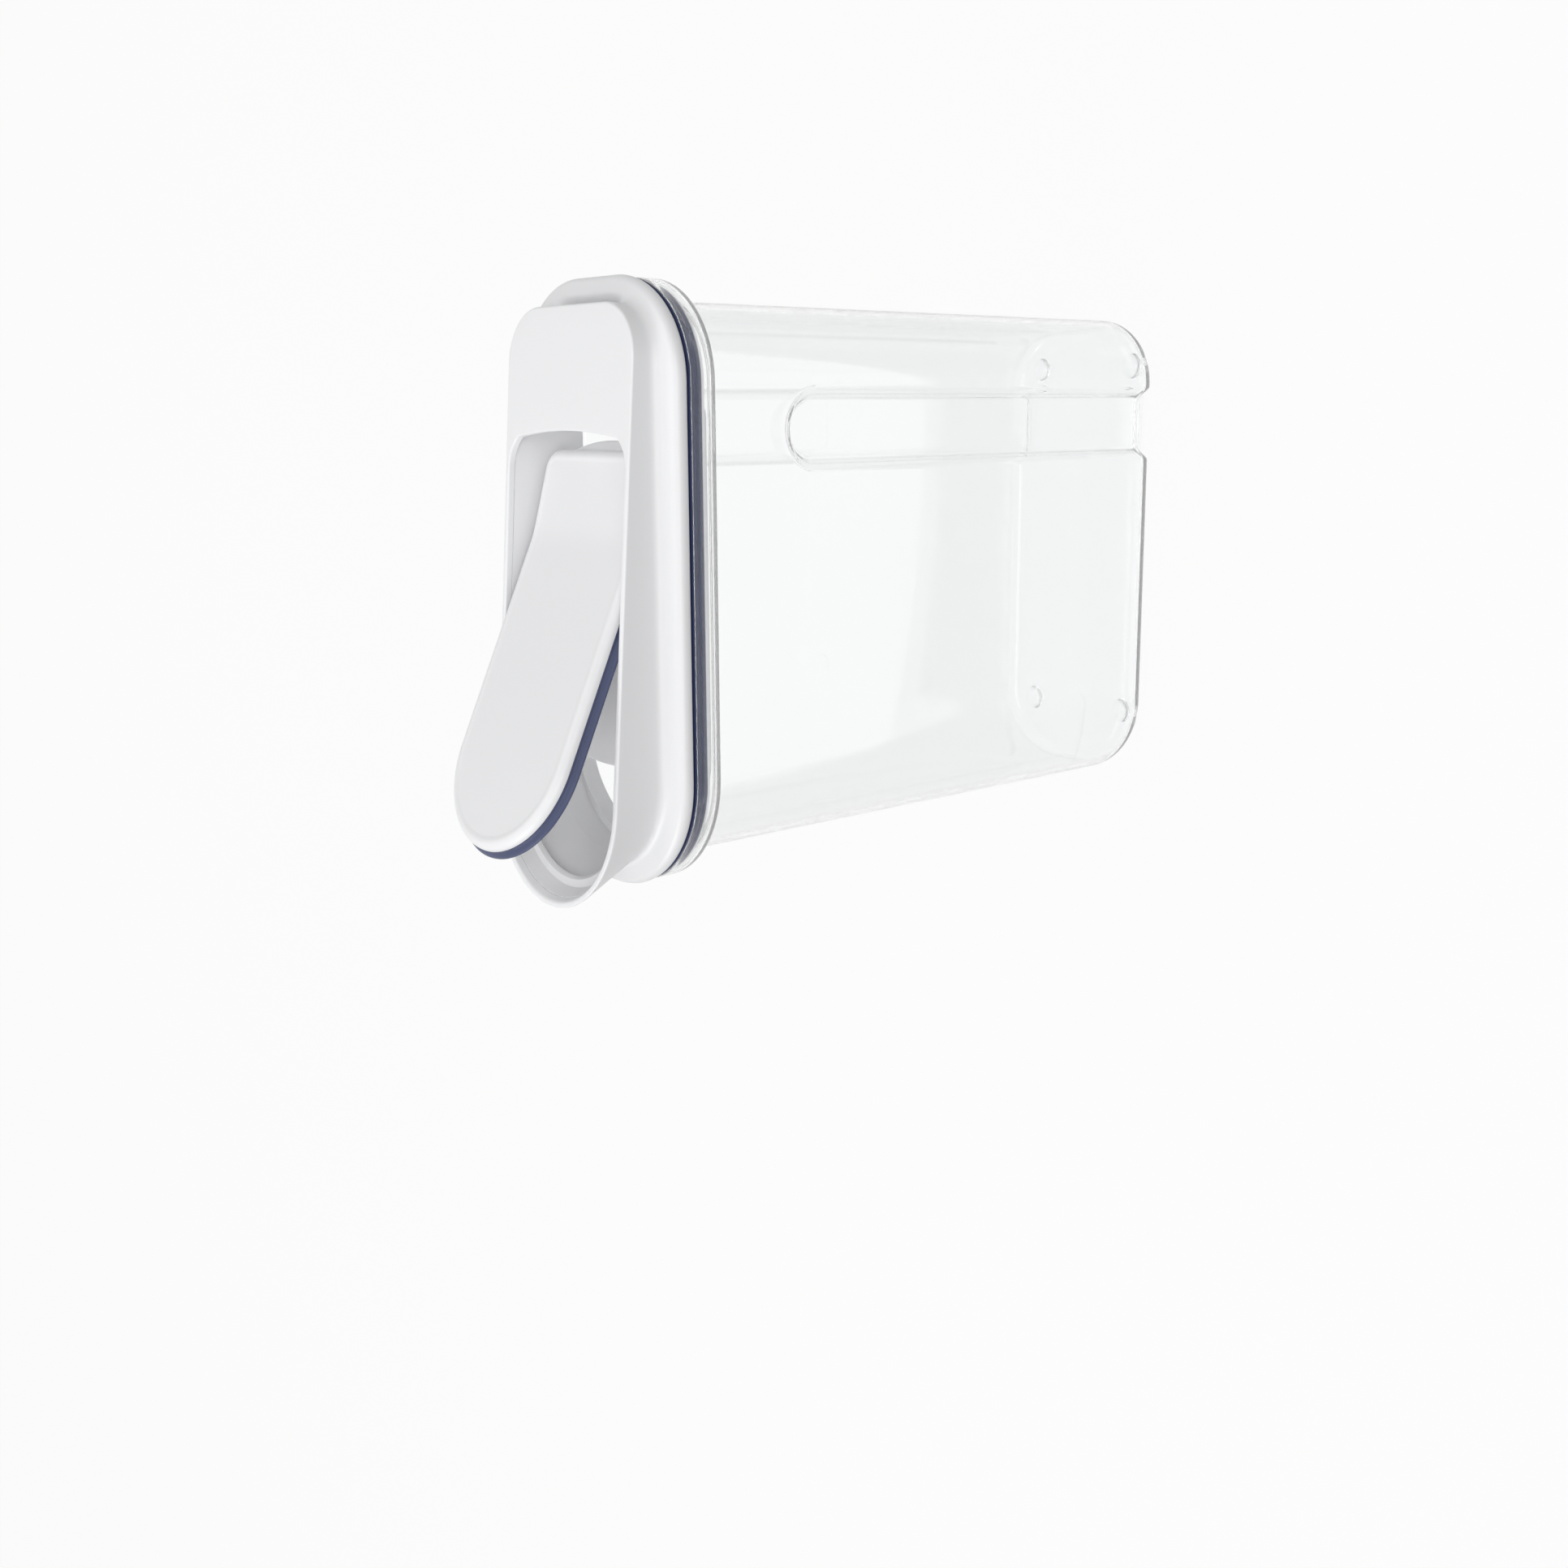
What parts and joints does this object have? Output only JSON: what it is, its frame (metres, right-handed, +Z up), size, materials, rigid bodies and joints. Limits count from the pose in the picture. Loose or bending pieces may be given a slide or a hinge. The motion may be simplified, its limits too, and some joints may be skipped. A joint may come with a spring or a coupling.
{
  "type": "cereal container",
  "caption": "Tall clear storage container with finger channels and a white lift-off lid whose rocking flip cover opens a raised pouring spout.",
  "frame": {"origin": "on the resting surface, below the middle of the object's box", "axes": "+Z up, +X towards the pouring spout, +Y and -Y out of the two long sides"},
  "size_m": [0.237, 0.103, 0.3374],
  "materials": {
    "clear_plastic": "clear, polished",
    "white_plastic": "satin",
    "blue_silicone": "satin"
  },
  "bodies": {
    "container": {"container": "clear_plastic", "foot_pads": "clear_plastic"},
    "lid": {"lid_shell": "white_plastic", "lid_plug": "white_plastic", "lid_gasket": "blue_silicone", "pour_guide": "white_plastic", "hinge_pin_left": "white_plastic", "hinge_pin_right": "white_plastic"},
    "cover": {"flip_cover": "white_plastic", "cover_plate": "white_plastic", "cover_gasket": "blue_silicone"}
  },
  "joints": [
    {"name": "lid_lift", "type": "slide", "parent": "container", "child": "lid", "axis": [0, 0, 1], "range_m": [0, 0.06]},
    {"name": "cover_flip", "type": "hinge", "parent": "lid", "child": "cover", "pos_m": [0.0034, 0, 0.28314], "axis": [0, 1, 0], "range_deg": [0, 20]}
  ]
}
